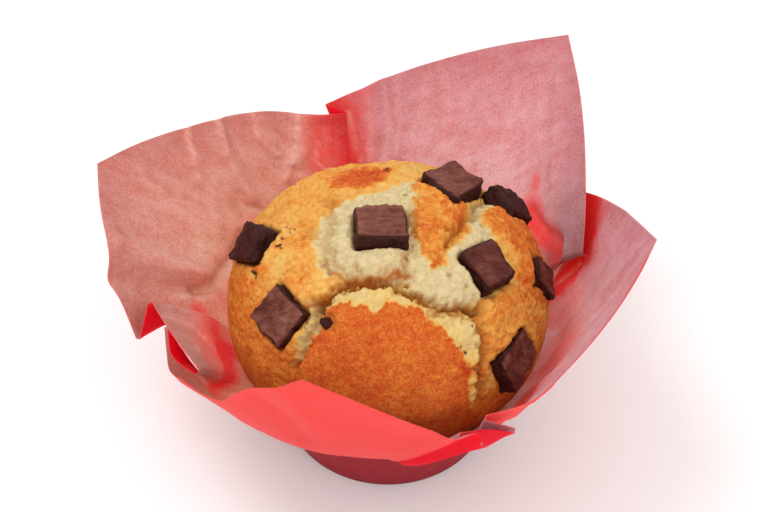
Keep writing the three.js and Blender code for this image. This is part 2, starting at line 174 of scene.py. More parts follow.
class Finish:
    def __init__(self, name, roughness, **sockets):
        self.material = bpy.data.materials.new(name)
        self.material.use_nodes = True
        self.tree = self.material.node_tree
        self.shader = self.tree.nodes["Principled BSDF"]
        self.shader.inputs["Roughness"].default_value = roughness
        for socket, value in sockets.items():
            self.shader.inputs[socket.replace("_", " ")].default_value = value

    def node(self, kind, inputs=None, **settings):
        made = self.tree.nodes.new(kind)
        for key, value in settings.items():
            setattr(made, key, value)
        for key, value in (inputs or {}).items():
            if isinstance(value, bpy.types.NodeSocket):
                self.tree.links.new(value, made.inputs[key])
            else:
                made.inputs[key].default_value = value
        return made

    def link(self, source, socket):
        self.tree.links.new(source, self.shader.inputs[socket])

    def tone(self, name):
        return self.node("ShaderNodeAttribute", attribute_name=name).outputs["Fac"]

    def place(self, scale, turn=(0, 0, 0), attribute=None):
        if attribute:
            source = self.node("ShaderNodeAttribute", attribute_name=attribute).outputs["Vector"]
        else:
            source = self.node("ShaderNodeTexCoord").outputs["Object"]
        made = self.node("ShaderNodeMapping", {"Vector": source, "Scale": scale, "Rotation": turn})
        return made.outputs["Vector"]

    def noise(self, scale, detail=3, roughness=0.55, vector=None, distortion=0):
        made = self.node("ShaderNodeTexNoise", {"Scale": scale, "Detail": detail, "Roughness": roughness,
                                                "Distortion": distortion,
                                                "Vector": vector or self.place((1, 1, 1))})
        return made.outputs["Fac"]

    def math(self, operation, a, b=0.0, c=0.0):
        return self.node("ShaderNodeMath", {0: a, 1: b, 2: c}, operation=operation).outputs[0]

    def spread(self, value, low, high, toLow=0.0, toHigh=1.0):
        made = self.node("ShaderNodeMapRange", {"Value": value, "From Min": low, "From Max": high,
                                                "To Min": toLow, "To Max": toHigh})
        return made.outputs["Result"]

    def ramp(self, value, stops):
        made = self.node("ShaderNodeValToRGB", {"Fac": value})
        band = made.color_ramp
        while len(band.elements) < len(stops):
            band.elements.new(0.5)
        for element, (place, colour) in zip(band.elements, stops):
            element.position = place
            element.color = linear(*colour)
        return made.outputs["Color"]

    def mixColour(self, share, a, b, kind="MIX"):
        made = self.node("ShaderNodeMix", {0: share, 6: a, 7: b}, data_type="RGBA", blend_type=kind)
        return made.outputs[2]

    def bumps(self, height, strength, distance):
        made = self.node("ShaderNodeBump", {"Height": height, "Strength": strength, "Distance": distance})
        self.link(made.outputs["Normal"], "Normal")


# The paper case: one square sheet, folded into a cup with four petals

paper = {
    "baseRadius": 25.5, "wallTopRadius": 31.2, "wallTopHeight": 20, "floorHeight": 0.3, "baseInset": 0.3,
    "knee": (41, 30), "kneeAt": 0.32, "thickness": 0.14,
    "pleats": 26, "pleatDepth": 0.35, "foldWidth": 1.2, "foldFoot": 1.4,
    "columnSpacing": 1.15, "floorRows": 4, "wallRows": 8, "petalRows": 78,
    # across the sheet a degree at the cup counts as a millimetre, and the petal's whole length as this many
    "petalSpan": 50,
    # what the lifts of sharp creases and of soft waves are multiplied by
    "creaseGain": 1.4, "waveGain": 1.25,
    # strength and width of the painted highlight line along a crease, and along a wave
    "highlightCrease": (0.6, 0.6), "highlightWave": (0.12, 1.2),
    # red spreads from the muffin's side, grease soak with a painted glow of light through the sheet: distance
    # out, height, and how much the way below it counts
    "greaseAndGlowFrom": (37.5, 40, 0.6), "greaseAndGlowTone": 0.9,
    # how far it reaches in millimetres, by angle at the cup
    "greaseAndGlowReach": [(-120, 4), (-95, 5), (-60, 7), (-20, 8), (15, 8), (24, 5), (40, 4), (80, 4), (98, 7),
                    (112, 8), (150, 7), (175, 8), (200, 9), (225, 7), (250, 4)],
    # where the outside is painted deep red at a fold, a painted shade for the fold and its doubled layers:
    # angle at the cup, width
    "shadedFolds": [(-87.5, 2.4), (21, 3), (102, 3), (178.6, 3), (206.4, 2.6), (-72, 7)],
    # light passes a little way through the thin sheet
    "glow": {"Subsurface_Weight": 0.85, "Subsurface_Radius": (1, 0.55, 0.5), "Subsurface_Scale": 0.0008},
}

# Each spoke runs from the cup over a knee to the edge of the sheet
# edge: angle round the muffin, distance out, height; then the angle at the cup; then the knee
plain, tip, fold = "plain", "tip", "fold"
spokes = [
    ((-109, 53.5, 74), -110, (40.4, 30.8), tip),
    ((-99, 50.7, 67), -103, (39.8, 31.2), plain),
    ((-87, 50.2, 60), -97, (39.6, 31.2), plain),
    ((-79, 49.6, 54), -93, (39.6, 31.2), plain),
    ((-72.8, 50.2, 50), -91, (39.8, 31.2), plain),
    ((-67.4, 50, 50), -89, (40.2, 31), fold),
    ((-66, 50.1, 45), -86, (40.8, 30.8), fold),
    ((-70, 45.6, 44.6), -81.6, (39, 31.4), fold),
    ((-64.4, 47.6, 46.6), -76.6, (39.6, 30.8), plain),
    ((-60.8, 49.2, 46.4), -71, (40.2, 30.2), plain),
    ((-56.8, 50.4, 45.4), -66, (40, 30), fold),
    ((-62, 45.4, 47.2), -61.6, (38.4, 30), fold),
    ((-57.4, 49, 52), -57.5, (38.2, 29.4), plain),
    ((-53, 52.8, 57), -52, (37.8, 28.8), plain),
    ((-45, 54, 62), -44, (37.4, 28.4), plain),
    ((-33, 55.2, 66.5), -32, (37.4, 28.4), plain),
    ((-18, 57.4, 70), -18, (38.4, 29), plain),
    ((-10, 59.3, 72), -9, None, tip),
    ((11, 54, 60), 7, None, plain),
    ((31.2, 54.8, 46), 16, (41.8, 29.6), plain),
    ((36, 55, 42.5), 19.4, (42.2, 29.4), fold),
    ((9, 46.5, 47), 22.4, (39.8, 31), fold),
    ((17, 48, 54), 26, (40.2, 30.6), plain),
    ((26, 51.5, 57), 31, None, plain),
    ((38, 59, 60), 39.5, None, plain),
    ((46, 66, 63), 46, None, plain),
    ((54, 74.3, 68), 54, None, tip),
    ((66, 67.6, 63), 65, None, plain),
    ((80, 61.9, 58), 78, None, plain),
    ((92, 58.8, 54), 90, None, plain),
    ((106, 56.3, 50), 100.4, (42, 29.5), fold),
    ((101.6, 52.3, 50), 103.4, (39.8, 31), fold),
    ((107, 52.9, 50), 107, (40.2, 30.6), plain),
    ((122, 57.4, 53), 121, None, plain),
    ((141, 61, 58), 138, None, plain),
    ((155, 67, 61), 151, None, plain),
    ((162, 71.1, 62), 158, None, tip),
    ((170.5, 67, 61), 164, None, plain),
    ((180, 63.6, 57), 169, None, plain),
    ((187, 61.7, 52), 172.5, (41.6, 29.8), plain),
    ((194, 58.6, 42), 177, (42.2, 29.4), fold),
    ((190, 54.7, 49), 180.2, (39.7, 31.4), fold),
    ((201, 51.5, 48.5), 193, (40, 31), plain),
    ((213, 50.2, 46.5), 204.4, (40.2, 31), fold),
    ((207.4, 52, 45), 205.6, (41.2, 30.6), plain),
    ((201.8, 52.6, 43.6), 206.6, (41.8, 30.3), plain),
    ((194.6, 52, 45), 208.2, (44, 29.7), fold),
    ((199.3, 53.2, 40.4), 210.6, (44.6, 29.8), plain),
    ((203, 53.8, 39.8), 212.6, (44.8, 30), plain),
    ((210, 52.6, 42), 215.4, (44.6, 30.6), plain),
    ((219, 51.8, 45), 219.4, (44, 31), plain),
    ((226, 51.6, 49), 225, (43.4, 31), plain),
    ((231, 52.2, 56), 230, (42.4, 30.6), plain),
    ((240, 52.1, 64), 239.4, None, plain),
]


# A spoke as edge place x, y, z, angle at the cup, knee out and up
def spokeAt(index):
    lap, at = divmod(index, len(spokes))
    (angle, out, up), foot, knee, kind = spokes[at]
    turn = math.radians(angle)
    values = [out * math.cos(turn), out * math.sin(turn), up, foot + lap * 360, *(knee or paper["knee"])]
    return {"values": np.array(values, float), "angle": angle + lap * 360, "kind": kind}


# At a fold the paper turns round over a small width, so the spoke becomes two
def roundedFold(index):
    before, here, after = (spokeAt(index + step) for step in (-1, 0, 1))
    foot = math.radians(here["values"][3])
    kneeOut, kneeUp = here["values"][4:]
    knee = np.array([kneeOut * math.cos(foot), kneeOut * math.sin(foot), kneeUp])
    edgeWay = 2 * here["values"][:3] - before["values"][:3] - after["values"][:3]
    across = np.cross(edgeWay, here["values"][:3] - knee)
    across /= np.linalg.norm(across)
    across *= np.sign(across @ (after["values"][:3] - before["values"][:3]))
    outward = across[0] * math.cos(foot) + across[1] * math.sin(foot)
    offset = np.array([*across, paper["foldFoot"] / paper["foldWidth"], outward, across[2]])
    return [{**here, "values": here["values"] + side * paper["foldWidth"] * offset} for side in (-0.5, 0.5)]


# The whole edge of the sheet, one row of numbers for each column of the mesh
def sheetColumns(spacing):
    stops = []
    for index, spoke in enumerate(spokes):
        stops += roundedFold(index) if spoke[3] == fold else [spokeAt(index)]

    def stopAt(index):
        lap, at = divmod(index, len(stops))
        stop = stops[at]
        return {**stop, "values": stop["values"] + np.array([0, 0, 0, 360, 0, 0]) * lap,
                "angle": stop["angle"] + lap * 360}

    def span(a, b):
        return np.linalg.norm(b["values"][:3] - a["values"][:3])

    def slope(before, here, after, side):
        lengthBefore, lengthAfter = span(before, here), span(here, after)
        slopeBefore = (here["values"] - before["values"]) / lengthBefore
        slopeAfter = (after["values"] - here["values"]) / lengthAfter
        if here["kind"] != plain:
            return slopeBefore if side < 0 else slopeAfter
        return (slopeBefore * lengthAfter + slopeAfter * lengthBefore) / (lengthBefore + lengthAfter)

    columns = []
    for index in range(len(stops)):
        before, here, after, beyond = (stopAt(index + step) for step in (-1, 0, 1, 2))
        length = span(here, after)
        steps = max(3, round(length / spacing))
        for step in range(steps):
            t = step / steps
            start = 2 * t ** 3 - 3 * t ** 2 + 1
            curve = (here["values"] * start + after["values"] * (1 - start)
                     + slope(before, here, after, 1) * (t ** 3 - 2 * t ** 2 + t) * length
                     + slope(here, after, beyond, -1) * (t ** 3 - t ** 2) * length)
            straight = blend(here["values"], after["values"], t)
            angle = math.degrees(math.atan2(curve[1], curve[0]))
            near = blend(here["angle"], after["angle"], t)
            angle += 360 * round((near - angle) / 360)
            columns.append([math.hypot(curve[0], curve[1]), curve[2], angle, *straight[3:]])
    return np.array(columns)


# Distance out and height on the stretch from the cup's wall over the knee to the edge
def petalCurve(edgeOut, edgeUp, kneeOut, kneeUp, t):
    start = np.array([paper["wallTopRadius"], paper["wallTopHeight"]])
    lean = math.atan2(paper["wallTopHeight"], paper["wallTopRadius"] - paper["baseRadius"])
    lower = np.hypot(kneeOut - start[0], kneeUp - start[1])
    upper = np.hypot(edgeOut - kneeOut, edgeUp - kneeUp)
    kneeSlope = np.array([(kneeOut - start[0]) / lower + (edgeOut - kneeOut) / upper,
                          (kneeUp - start[1]) / lower + (edgeUp - kneeUp) / upper])
    kneeSlope /= np.hypot(*kneeSlope)
    kneeAt = paper["kneeAt"]
    inLower = t < kneeAt
    u = np.where(inLower, t / kneeAt, (t - kneeAt) / (1 - kneeAt))
    length = np.where(inLower, lower, upper)
    weight = 2 * u ** 3 - 3 * u ** 2 + 1
    result = []
    ways = [(kneeOut, edgeOut, math.cos(lean)), (kneeUp, edgeUp, math.sin(lean))]
    for k, (knee, edge, first) in enumerate(ways):
        low = np.where(inLower, start[k], knee)
        high = np.where(inLower, knee, edge)
        slopeLow = np.where(inLower, first, kneeSlope[k])
        slopeHigh = np.where(inLower, kneeSlope[k], (edge - knee) / upper)
        result.append(low * weight + high * (1 - weight)
                      + ((u ** 3 - 2 * u ** 2 + u) * slopeLow + (u ** 3 - u ** 2) * slopeHigh) * length)
    return result


def pleatLift(foot):
    turn = foot / 360 * paper["pleats"]
    return paper["pleatDepth"] * (2 * np.abs(turn - np.floor(turn) - 0.4) - 0.5)


# Creases and waves pressed into the petals. line: places as angle at the cup and share of the petal;
# lift: how far the paper stands in towards the muffin, in millimetres before the gain of its kind;
# sharp: a crease, not a soft wave; pale: the width of its painted highlight line where that isn't the usual
# one
creases = [
    {"line": [(139, 1), (141.4, 0.88), (144.5, 0.73)], "lift": 0.7, "width": 0.7, "sharp": True},
    {"line": [(131.8, 1), (133.6, 0.88), (134.9, 0.8)], "lift": 0.5, "width": 0.6, "sharp": True},
    {"line": [(124.2, 1), (124.6, 0.84), (121.8, 0.72)], "lift": 0.5, "width": 0.6, "sharp": True},
    {"line": [(117, 0.52), (118.6, 0.6), (115, 0.72)], "lift": 0.5, "width": 0.6, "sharp": True},
    {"line": [(110.4, 0.8), (112, 0.66), (109, 0.56)], "lift": -0.6, "width": 0.6, "sharp": True},
    {"line": [(131.8, 1), (134.9, 0.8), (135.1, 0.65), (133.8, 0.52)], "lift": 0.7, "width": 1.4},
    {"line": [(128.5, 1), (130, 0.8), (129, 0.6)], "lift": -0.6, "width": 2.2},
    {"line": [(122.2, 0.95), (122.4, 0.72)], "lift": 0.7, "width": 0.9},
    {"line": [(112.8, 1), (115.6, 0.81), (119, 0.65)], "lift": 1.0, "width": 0.6, "sharp": True, "pale": 1.6},
    {"line": [(122.4, 0.56), (119, 0.65), (115.4, 0.74)], "lift": 0.7, "width": 0.8, "sharp": True,
     "pale": 1.9},
    {"line": [(108, 0.9), (109, 0.6)], "lift": -0.7, "width": 2},
    {"line": [(171.6, 0.99), (172, 0.83), (171.4, 0.6), (168, 0.39)], "lift": -1.8, "width": 1.2},
    {"line": [(168, 0.95), (168.4, 0.8), (168, 0.6), (164.6, 0.42)], "lift": 1.5, "width": 1.8},
    {"line": [(137.6, 0.58), (137.6, 0.52), (133, 0.44)], "lift": -0.9, "width": 0.6, "sharp": True},
    {"line": [(170, 0.45), (163.6, 0.36), (151.4, 0.35), (142.4, 0.4)], "lift": -1.4, "width": 1.4},
    {"line": [(154, 0.9), (156, 0.65), (150, 0.5)], "lift": 0.6, "width": 3.5},
    {"line": [(148, 0.75), (146, 0.6), (142, 0.5)], "lift": -0.5, "width": 2.5},
    {"line": [(184.5, 0.95), (186, 0.65), (189, 0.5)], "lift": -0.7, "width": 0.9, "sharp": True},
    {"line": [(188.5, 0.56), (193, 0.42), (200, 0.36)], "lift": -0.5, "width": 0.8, "sharp": True},
    {"line": [(196, 0.7), (198, 0.5), (201, 0.4)], "lift": 0.5, "width": 1.6},
    {"line": [(99.7, 0.57), (96.7, 0.52), (96.2, 0.6)], "lift": -0.7, "width": 0.4, "sharp": True},
    {"line": [(96.6, 0.9), (97.3, 0.65)], "lift": -0.5, "width": 0.9, "sharp": True},
    {"line": [(93, 1), (92.8, 0.74), (94.7, 0.56)], "lift": 1.0, "width": 1.8},
    {"line": [(89.5, 1), (89, 0.75), (90.5, 0.56)], "lift": -1.0, "width": 1.6},
    {"line": [(86.6, 0.94), (85.8, 0.75), (87.2, 0.56)], "lift": 0.9, "width": 1.5},
    {"line": [(80, 0.95), (79, 0.7)], "lift": -0.45, "width": 2.5},
    {"line": [(76.3, 0.95), (73.2, 0.75), (73.1, 0.57)], "lift": 0.5, "width": 2.6},
    {"line": [(60, 0.85), (58, 0.65), (55, 0.5)], "lift": -0.5, "width": 3},
    {"line": [(52.3, 0.91), (44.8, 0.78), (36.1, 0.65), (31, 0.52)], "lift": 0.5, "width": 2.2},
    {"line": [(40.7, 0.47), (33, 0.48), (25, 0.62)], "lift": -1.3, "width": 2.2},
    {"line": [(18.2, 0.25), (14.8, 0.4), (10.8, 0.6)], "lift": -0.7, "width": 0.7, "sharp": True},
    {"line": [(5, 0.95), (3.2, 0.59), (-0.5, 0.27)], "lift": -0.7, "width": 2.4},
    {"line": [(-7.1, 0.91), (-6.2, 0.6), (-12.4, 0.35)], "lift": 0.8, "width": 2},
    {"line": [(-16, 0.9), (-18, 0.6), (-24, 0.35)], "lift": -0.6, "width": 2.2},
    {"line": [(-30, 0.85), (-34, 0.55), (-38, 0.35)], "lift": 0.6, "width": 2.4},
    {"line": [(-44, 0.8), (-48, 0.5)], "lift": -0.5, "width": 2},
    {"line": [(236, 0.95), (241, 0.75), (246, 0.5)], "lift": 0.7, "width": 3},
    {"line": [(244, 0.98), (250, 0.7)], "lift": -0.6, "width": 3},
    {"line": [(258, 0.95), (262, 0.6)], "lift": 0.5, "width": 4},
]

# Red marks on the inside of the sheet, grease stains with painted shade and painted glow in valleys and
# folds: line as for a crease, width, strength
stainsShadeAndGlow = [
    ([(102, 1), (102, 0.5), (104, 0.3)], 11, 0.85),
    ([(100, 0.7), (98, 0.45)], 7, 0.7),
    ([(15.5, 1), (12, 0.65), (15, 0.25)], 6.5, 1),
    ([(41, 0.45), (33, 0.46), (25, 0.58)], 6, 0.8),
    ([(44.4, 0.575), (44.5, 0.585)], 2.6, 0.5),
    ([(192, 0.3), (204, 0.36)], 9, 0.9),
    ([(176, 0.42), (186, 0.4)], 6, 0.75),
    ([(108, 0.95), (109, 0.75), (110, 0.5)], 7, 0.62),
    ([(-14.4, 1), (-32.3, 1), (-56, 1)], 1.6, 0.8),
]


# Places of the sheet row by row, and how far along each row is: floor from -2, wall from -1, petal 0 to 1
def sheetGrid(columns):
    edgeOut, edgeUp, edgeAngle, foot, kneeOut, kneeUp = columns.T
    starts = {"floor": -2, "wall": -1, "petal": 0}
    baseRadius = paper["baseRadius"] - paper["baseInset"]
    floor = [("floor", share) for share in np.linspace(0, 1, paper["floorRows"], endpoint=False)]
    wall = [("wall", share) for share in np.linspace(0, 1, paper["wallRows"], endpoint=False)]
    petal = [("petal", share) for share in np.linspace(0, 1, paper["petalRows"])]
    places, shares = [], []
    for part, share in floor + wall + petal:
        angle = foot
        if part == "floor":
            out = np.full(foot.shape, baseRadius * share)
            up = np.full(foot.shape, paper["floorHeight"])
        elif part == "wall":
            out = blend(baseRadius, paper["wallTopRadius"], share)
            out = out + pleatLift(foot) * smoothStep(0, 0.3, share)
            up = np.full(foot.shape, blend(paper["floorHeight"], paper["wallTopHeight"], share))
        else:
            out, up = petalCurve(edgeOut, edgeUp, kneeOut, kneeUp, np.full(foot.shape, share))
            out = out + pleatLift(foot) * (1 - smoothStep(0, paper["kneeAt"], share))
            angle = blend(foot, edgeAngle, share ** 2)
        turn = np.radians(angle)
        places.append(np.stack([out * np.cos(turn), out * np.sin(turn), up], -1))
        shares.append(np.full(foot.shape, share + starts[part]))
    return np.array(places), np.array(shares)


# Directions in towards the muffin, from the slopes of the grid
def gridNormals(grid):
    along = np.roll(grid, -1, 1) - np.roll(grid, 1, 1)
    outward = np.empty_like(grid)
    outward[1:-1] = grid[2:] - grid[:-2]
    outward[0], outward[-1] = grid[1] - grid[0], grid[-1] - grid[-2]
    normals = np.cross(outward, along)
    length = np.linalg.norm(normals, axis=2, keepdims=True)
    return np.where(length > 1e-9, normals / np.maximum(length, 1e-9), (0, 0, 1))


# Distance from each place of the sheet to the line of a crease or stain
def distanceToMark(line, shares, foot):
    span = paper["petalSpan"]
    path = [(angle, share * span) for angle, share in line]
    return distanceToPath(np.broadcast_to(foot, shares.shape), shares * span, path)


def sheetClouds(grid, size, octaves, shift):
    return clouds(grid.reshape(-1, 3), size, octaves, shift).reshape(grid.shape[:2])


def pressCreases(grid, shares, foot):
    lift = np.zeros(shares.shape)
    for crease in creases:
        distance = distanceToMark(crease["line"], shares, foot)
        if crease.get("sharp"):
            lift += crease["lift"] * paper["creaseGain"] * np.exp(-distance / crease["width"])
        else:
            lift += crease["lift"] * paper["waveGain"] * bump(distance, crease["width"])
    dents = sheetClouds(grid, 16, 2, 4) * 0.5 + sheetClouds(grid, 5, 2, 9) * 0.16
    lift += dents * smoothStep(0.25, 0.55, shares) * (1 - smoothStep(0.9, 1, shares))
    return grid + gridNormals(grid) * lift[..., None]


# Where each place lies on the sheet rolled out flat, for patterns that follow the paper
def flatPlaces(grid, foot):
    steps = np.linalg.norm(np.diff(grid, axis=0), axis=2)
    reach = np.concatenate([np.zeros((1, grid.shape[1])), np.cumsum(steps, 0)])
    turn = np.radians(foot)
    return np.stack([reach * np.cos(turn), reach * np.sin(turn), np.zeros_like(reach)], -1)


# How red the inside of the sheet is, 0 to 1: grease soak, with a painted glow of light through the sheet near
# the muffin and painted shade in some valleys
def soakAndGlowTone(grid, shares, foot):
    sideOut, sideUp, belowShare = paper["greaseAndGlowFrom"]
    x, y, z = np.moveaxis(grid, -1, 0)
    fromMuffin = np.hypot(np.hypot(x, y) - sideOut, np.minimum(z - sideUp, 0) * belowShare)
    fromMuffin += sheetClouds(grid, 4, 3, 2) * 1.6
    reach = np.interp(foot, *zip(*paper["greaseAndGlowReach"]))
    soakAndGlow = paper["greaseAndGlowTone"] * (1 - smoothStep(-1, reach * 1.5, fromMuffin))
    spill = sheetClouds(grid, 5, 3, 7)
    for line, width, tone in stainsShadeAndGlow:
        distance = distanceToMark(line, shares, foot) + spill * width * 0.2
        soakAndGlow = np.maximum(soakAndGlow, tone * (1 - smoothStep(width * 0.15, width * 1.15, distance)))
    return soakAndGlow


# Painted highlight lines along the creases and waves of the sheet
def creaseHighlightTone(shares, foot):
    creaseHighlight = np.zeros(shares.shape)
    for crease in creases:
        strength, width = paper["highlightCrease"] if crease.get("sharp") else paper["highlightWave"]
        distance = distanceToMark(crease["line"], shares, foot)
        creaseHighlight = np.maximum(creaseHighlight, strength * bump(distance, crease.get("pale", width)))
    return creaseHighlight


def makeInnerPaper():
    finish = Finish("petalPaperInside", 0.78, Specular_IOR_Level=0.12, **paper["glow"])
    flat = finish.place((1, 1, 1), attribute="flatPlace")
    speckle = finish.spread(finish.noise(1500, 2, 0.7, flat), 0.32, 0.68)
    blotch = finish.spread(finish.noise(260, 4, 0.65, flat), 0.3, 0.7)
    slanted = finish.place((1, 4, 1), (0, 0, math.radians(-30)), "flatPlace")
    streak = finish.spread(finish.noise(60, 3, 0.55, slanted), 0.3, 0.7)
    mottle = finish.math("MULTIPLY_ADD", speckle, 0.46, finish.math("MULTIPLY", blotch, 0.34))
    mottle = finish.math("MULTIPLY_ADD", streak, 0.24, mottle)
    pale = finish.ramp(mottle, [(0.1, (210, 138, 140)), (0.4, (215, 180, 182)), (0.65, (223, 200, 202)),
                                (0.95, (238, 224, 226))])
    warm = finish.ramp(mottle, [(0.1, (202, 134, 114)), (0.4, (211, 175, 157)), (0.65, (219, 197, 179)),
                                (0.95, (236, 222, 206))])
    sheet = finish.mixColour(finish.tone("warmth"), pale, warm)
    # the red is grease soak brightened as a painted glow of light through the sheet, with painted shade in
    # some valleys
    red = finish.ramp(speckle, [(0.1, (246, 62, 66)), (0.9, (252, 98, 94))])
    patchy = finish.math("SUBTRACT", blotch, 0.5)
    soakedAndGlowing = finish.spread(finish.math("MULTIPLY_ADD", patchy, 0.24, finish.tone("soakAndGlow")), 0.06, 0.84)
    sheet = finish.mixColour(soakedAndGlowing, sheet, red)
    # the sheet is darker and duller towards its edge, and has a painted highlight along its creases
    dull = finish.ramp(finish.tone("reach"), [(0.25, (255, 255, 255)), (0.6, (230, 208, 213)),
                                              (1, (199, 165, 172))])
    sheet = finish.mixColour(1.0, sheet, dull, "MULTIPLY")
    # painted highlight: a pale line along each crease and wave
    creaseHighlight = finish.math("MULTIPLY", finish.tone("creaseHighlight"), finish.spread(blotch, 0.2, 0.8, 0.35, 0.9))
    sheet = finish.mixColour(creaseHighlight, sheet, linear(236, 186, 178))
    finish.link(sheet, "Base Color")
    finish.bumps(mottle, 0.3, 0.0002)
    return finish.material


def makeOuterPaper():
    finish = Finish("petalPaperOutside", 0.7, Specular_IOR_Level=0.12, **paper["glow"])
    flat = finish.place((1, 1, 1), attribute="flatPlace")
    speckle = finish.noise(1200, 2, 0.6, flat)
    coral = finish.ramp(speckle, [(0.3, (218, 62, 60)), (0.7, (227, 72, 69))])
    # painted shade: the outside turns deep red at folds
    crimson = finish.mixColour(finish.tone("foldShade"), coral, linear(220, 14, 34))
    # painted shade: the cup's wall under the petals is dark maroon
    cup = finish.mixColour(finish.tone("cup"), crimson, linear(138, 28, 38))
    finish.link(cup, "Base Color")
    finish.bumps(speckle, 0.08, 0.0001)
    return finish.material


def makePaperCase():
    columns = sheetColumns(paper["columnSpacing"])
    foot = columns[:, 3]
    grid, shares = sheetGrid(columns)
    grid = pressCreases(grid, shares, foot)
    mesh, row, column = spunSheet("petalPaper", grid.shape[0], grid.shape[1])
    writePlaces(mesh, grid[row, column] * mm)
    writeVectorTone(mesh, "flatPlace", flatPlaces(grid, foot)[row, column] * mm)
    # how red the inside is: grease soak with painted glow and painted shade
    writeTone(mesh, "soakAndGlow", soakAndGlowTone(grid, shares, foot)[row, column])
    # the paper at the left is warmer in tone
    azimuth = np.degrees(np.arctan2(grid[..., 1], grid[..., 0]))[row, column]
    writeTone(mesh, "warmth", smoothStep(95, 115, azimuth) + smoothStep(-100, -130, azimuth))
    # painted shade along each fold of the outside
    foldShade = np.zeros(foot.shape)
    for angle, width in paper["shadedFolds"]:
        foldShade = np.maximum(foldShade, 1 - smoothStep(width * 0.7, width, np.abs(foot - angle)))
    writeTone(mesh, "foldShade", foldShade[column])
    # painted shade on the cup's floor and wall, fading out up the petal's lower part
    writeTone(mesh, "cup", (1 - smoothStep(0, 0.3, shares))[row, column])
    writeTone(mesh, "reach", shares[row, column])
    writeTone(mesh, "creaseHighlight", creaseHighlightTone(shares, foot)[row, column])
    finishes = [makeInnerPaper(), makeOuterPaper()]
    piece = finishPiece(mesh, "petal_paper", finishes, "paper_case", outward=False)
    # the inside of the sheet faces up at the bottom of the cup
    lowest = min(mesh.polygons, key=lambda face: face.center.z + face.center.xy.length)
    if lowest.normal.z < 0:
        mesh.flip_normals()
    wall = piece.modifiers.new("paperThickness", "SOLIDIFY")
    wall.thickness = paper["thickness"] * mm
    wall.offset = 0
    wall.material_offset = 1
    wall.material_offset_rim = 1
    print("paper case made,", len(mesh.polygons), "faces")


makePaperCase()


# The muffin: a turned body whose dome carries cracks, plates of crust and lumps of crumb.
# Places on the dome are millimetres seen from above, front at -y.

muffin = {
    "radius": 37.5, "widestHeight": 38, "domeRise": 27, "bulgeDrop": 12, "wallInset": 1.45,
    "caseFloor": 0.6, "gap": 0.3, "hollowRounding": 0.8, "rimRise": 0.5, "chunkDip": 1.0,
    "columns": 480, "wallRows": 10, "bulgeRows": 14, "domeRows": 172,
    "crumbLumps": 0.75, "crumbCells": 0.2, "crumbGrain": 0.22, "pit": 0.8,
    "crustGrain": 0.13, "crustLumps": 0.42,
}

# Cracks: path, width, depth, how strongly caramel colour and painted shade line them
cracks = [
    ([(-15, -19), (-12.5, -16.8), (-9, -15.3), (0, -15.2), (8, -18.6), (12, -19.6), (20, -18)],
      0.85, 2.9, 1),
    ([(-15, -19), (-15.5, -22), (-20, -27.5)], 1.2, 1.9, 0.4),
    ([(19, -19), (21, -23), (20, -29), (22, -33)], 1.1, 1.9, 0.7),
    ([(13, -4), (15, 0), (19, 7), (20.5, 12), (22.5, 17)], 1.2, 2.2, 0.5),
    ([(19, -18.5), (20.5, -16), (22.5, -13)], 1, 1.5, 0.4),
    ([(-15, 12), (-13, 8.5), (-13.5, -4), (-12, -9), (-8.5, -13.5)], 1.1, 1.2, 0.35),
    ([(5, -6), (3.8, -11), (2.6, -15)], 1, 1.3, 0.5),
    ([(-10, -14.6), (-4, -14.2), (1, -13.2), (4.4, -12.8)], 1.8, 0.4, 1),
    ([(-14.4, -7.6), (-13.4, -10), (-11, -13.2)], 0.7, 1.1, 0.75),
    ([(-7, -11), (-6.2, -12.4)], 0.9, 0.9, 0.6),
    ([(5.3, 3.4), (5.6, -4)], 1.3, 0.5, 0.75),
    ([(9, -20.6), (16, -20.4)], 0.9, 0.7, 0.7),
    ([(-17.6, 2), (-16.6, -1)], 1.6, 1.1, 0.35),
    ([(-13, 10), (-11, 8.8)], 1.4, 0.9, 0.3),
    ([(-17.6, -18.4), (-13.6, -17.6)], 1, 0.8, 0.9),
]

# Plates of crust that stand above the rest: outline, rise, softness of the edge
plates = [
    ([(-14, -20), (-11, -17), (-5, -16.4), (0, -16.2), (6, -18.4), (12, -20.4), (19, -20.4), (20, -26),
      (18, -38), (-24, -38), (-17, -25)], 1.6, 1),
    ([(6, 14), (10, 14.5), (18, 8), (16, 3), (13, -3), (10.3, -11), (6.4, -4)], 1.1, 0.7),
    ([(22, 9), (26, 13.5), (33, 12), (37, 3), (34, -6), (29, -5), (27, 1), (23, 5)], 1.1, 0.9),
    ([(20, -17.5), (24, -13), (30, -8), (36, -10), (36, -16), (30, -19), (25, -24), (21.5, -22)],
      0.8, 1),
]

# Broad lumps and one dip: place, size, height
lumps = [((-3, -3), 9, 0.9), ((12, -14), 5, 0.9), ((-22, -2), 8, 0.7), ((-16, 21), 9, 0.8), ((4, 27), 8, 0.5),
         ((-33, -12), 8, -0.6)]

